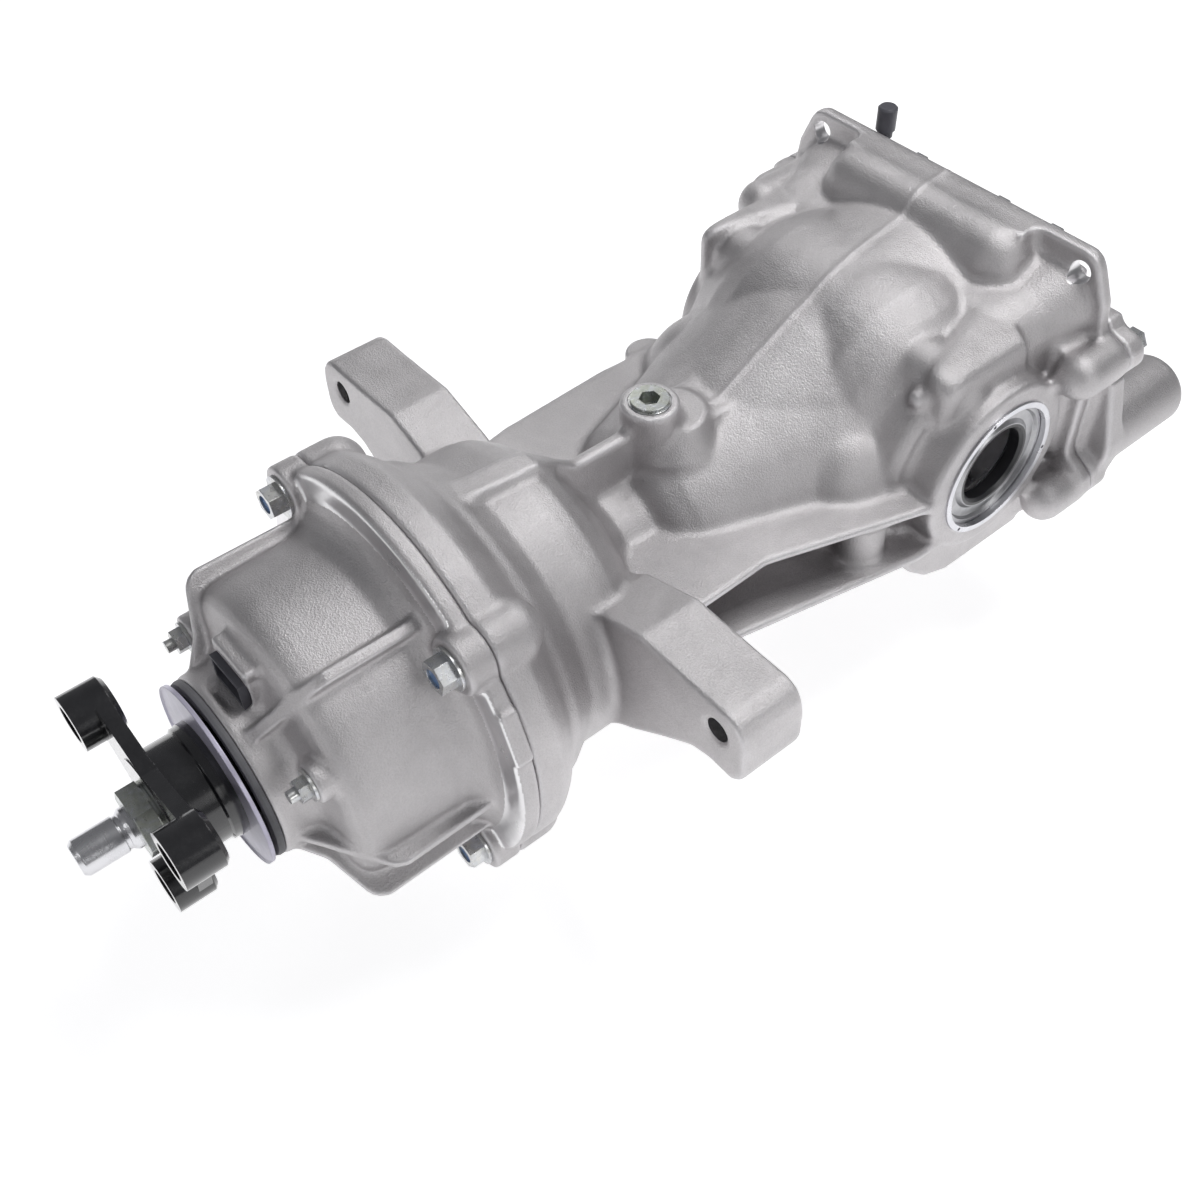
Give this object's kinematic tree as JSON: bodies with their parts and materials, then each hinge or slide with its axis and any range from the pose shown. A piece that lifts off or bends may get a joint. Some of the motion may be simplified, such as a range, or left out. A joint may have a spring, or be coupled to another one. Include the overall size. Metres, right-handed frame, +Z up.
{
  "type": "rear differential",
  "caption": "Car rear differential with an electric plate coupling, a three-lobed input flange, mounting arms, side seal openings and a domed rear cover.",
  "frame": {"origin": "centre of the input flange's bolt circle, on the front face of its three lobes", "axes": "+Y along the drive axis to the rear, +X to the side of the longer axle boss, +Z up"},
  "size_m": [0.318, 0.595, 0.2183],
  "materials": {
    "cast_aluminium": "sand-textured die casting",
    "machined_steel": "ground and turned",
    "zinc_steel": "zinc plated",
    "black_rubber": "matte",
    "gloss_black_paint": "gloss",
    "grey_plastic": "satin",
    "copper": "bare",
    "friction_lining": "paper-lined steel",
    "lavender_paint": "satin",
    "dark_steel": "dark phosphated"
  },
  "bodies": {
    "housing": {"main_housing": "cast_aluminium", "front_cover": "cast_aluminium", "rear_cover": "cast_aluminium", "cover_bolts": "zinc_steel", "rear_cover_bolts": "zinc_steel", "cover_o_ring": "black_rubber", "coil_stud_nuts": "zinc_steel", "connector_socket": "grey_plastic", "coil_yoke": "dark_steel", "coil_winding": "copper", "filler_plug": "zinc_steel", "filler_washer": "copper", "drain_plug": "zinc_steel", "breather_pipe": "machined_steel", "breather_cap": "grey_plastic", "input_seal": "black_rubber", "dust_ring": "black_rubber", "bearing_snap_ring": "machined_steel", "input_bearing_outer": "machined_steel", "tail_bearing_cup": "machined_steel", "head_bearing_cup": "machined_steel", "pinion_seal": "black_rubber", "carrier_bearing_cups": "machined_steel", "bearing_caps": "dark_steel", "cap_bolts": "zinc_steel", "axle_seals": "black_rubber", "seal_rings": "machined_steel"},
    "input": {"input_flange": "gloss_black_paint", "flange_nut": "dark_steel", "input_shaft": "machined_steel", "dust_disc": "lavender_paint", "input_bearing_inner": "machined_steel", "input_bearing_balls": "machined_steel", "clutch_drum": "machined_steel", "drum_snap_ring": "machined_steel", "pressure_end_plate": "machined_steel", "outer_plates": "dark_steel", "pilot_clutch": "dark_steel"},
    "pinion_group": {"pinion": "machined_steel", "pinion_nut": "dark_steel", "pinion_spacer": "machined_steel", "tail_bearing_cone": "machined_steel", "head_bearing_cone": "machined_steel", "clutch_hub": "machined_steel", "inner_plates": "friction_lining", "main_cam": "machined_steel", "ramp_balls": "machined_steel", "pilot_cam": "machined_steel"},
    "carrier": {"ring_gear": "machined_steel", "ring_gear_bolts": "dark_steel", "differential_case": "dark_steel", "cross_pin": "machined_steel", "lock_pin": "dark_steel", "spider_washers": "copper", "side_gear_washers": "copper", "carrier_bearing_cones": "machined_steel"},
    "spider_upper": {"spider_gear_upper": "machined_steel"},
    "spider_lower": {"spider_gear_lower": "machined_steel"},
    "side_left": {"side_gear_left": "machined_steel"},
    "side_right": {"side_gear_right": "machined_steel"}
  },
  "joints": [
    {"name": "input_spin", "type": "hinge", "parent": "housing", "child": "input", "pos_m": [0, 0, 0], "axis": [0, 1, 0], "continuous": true},
    {"name": "carrier_spin", "type": "hinge", "parent": "housing", "child": "carrier", "pos_m": [0, 0.427, 0.018], "axis": [1, 0, 0], "continuous": true},
    {"name": "pinion_spin", "type": "hinge", "parent": "housing", "child": "pinion_group", "pos_m": [0, 0.3, 0], "axis": [0, 1, 0], "continuous": true},
    {"name": "side_left_spin", "type": "hinge", "parent": "carrier", "child": "side_left", "pos_m": [0, 0.427, 0.018], "axis": [1, 0, 0], "continuous": true},
    {"name": "side_right_spin", "type": "hinge", "parent": "carrier", "child": "side_right", "pos_m": [0, 0.427, 0.018], "axis": [1, 0, 0], "continuous": true},
    {"name": "spider_upper_spin", "type": "hinge", "parent": "carrier", "child": "spider_upper", "pos_m": [0, 0.427, 0.018], "axis": [0, 0, 1], "continuous": true},
    {"name": "spider_lower_spin", "type": "hinge", "parent": "carrier", "child": "spider_lower", "pos_m": [0, 0.427, 0.018], "axis": [0, 0, 1], "continuous": true}
  ],
  "couplings": [
    {"joint": "pinion_spin", "follows": "carrier_spin", "ratio": -2.9231},
    {"joint": "side_right_spin", "follows": "side_left_spin", "ratio": -1},
    {"joint": "spider_upper_spin", "follows": "side_left_spin", "ratio": 1.6},
    {"joint": "spider_lower_spin", "follows": "side_left_spin", "ratio": -1.6}
  ]
}
